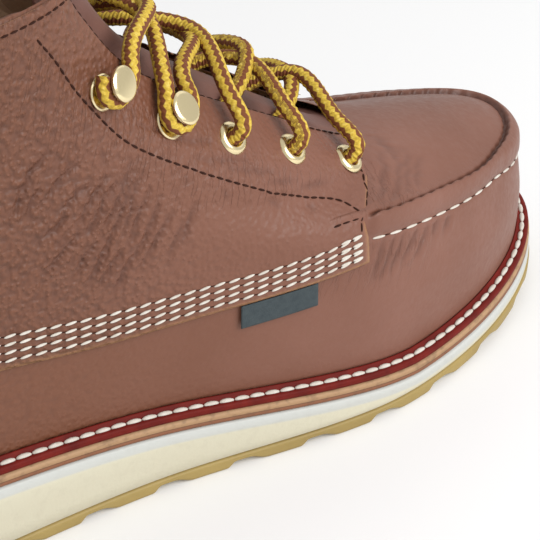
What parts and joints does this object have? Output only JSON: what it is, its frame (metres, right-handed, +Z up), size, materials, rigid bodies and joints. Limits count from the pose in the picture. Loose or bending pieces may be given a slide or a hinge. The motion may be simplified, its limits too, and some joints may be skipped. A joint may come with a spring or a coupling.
{
  "type": "work boot",
  "caption": "Ankle-high work boot with a moccasin toe, laced front, storm welt and wedge sole, for the right foot; stands empty, open at the collar.",
  "frame": {"origin": "on the floor under the middle of the boot's bounding box", "axes": "+X towards the toe, +Y towards the inner side of the foot, +Z up"},
  "size_m": [0.304, 0.1078, 0.1768],
  "materials": {
    "upper_leather": "oiled full-grain",
    "quarter_leather": "oiled full-grain",
    "tongue_leather": "soft, matt",
    "welt_red": "waxed edge",
    "sole_leather": "cut edge",
    "white_wedge": "matt foam rubber",
    "gum_rubber": "matt gum",
    "insole_board": "plain",
    "brass": "polished",
    "lace_braid": "round braid",
    "tag_weave": "woven, plain"
  },
  "bodies": {
    "root": {"outsole": "gum_rubber", "midsole_wedge": "white_wedge", "midsole_leather": "sole_leather", "welt": "welt_red", "insole": "insole_board", "upper": "upper_leather", "quarter_lateral": "quarter_leather", "quarter_medial": "quarter_leather", "tongue": "tongue_leather", "side_tag": "tag_weave", "eyelet_lateral_1": "brass", "eyelet_lateral_2": "brass", "eyelet_lateral_3": "brass", "eyelet_medial_1": "brass", "eyelet_medial_2": "brass", "eyelet_medial_3": "brass", "hook_lateral_1": "brass", "hook_lateral_2": "brass", "hook_medial_1": "brass", "hook_medial_2": "brass", "lace_crossing_1": "lace_braid", "lace_crossing_2": "lace_braid", "lace_crossing_3": "lace_braid", "lace_crossing_4": "lace_braid"}
  },
  "joints": []
}
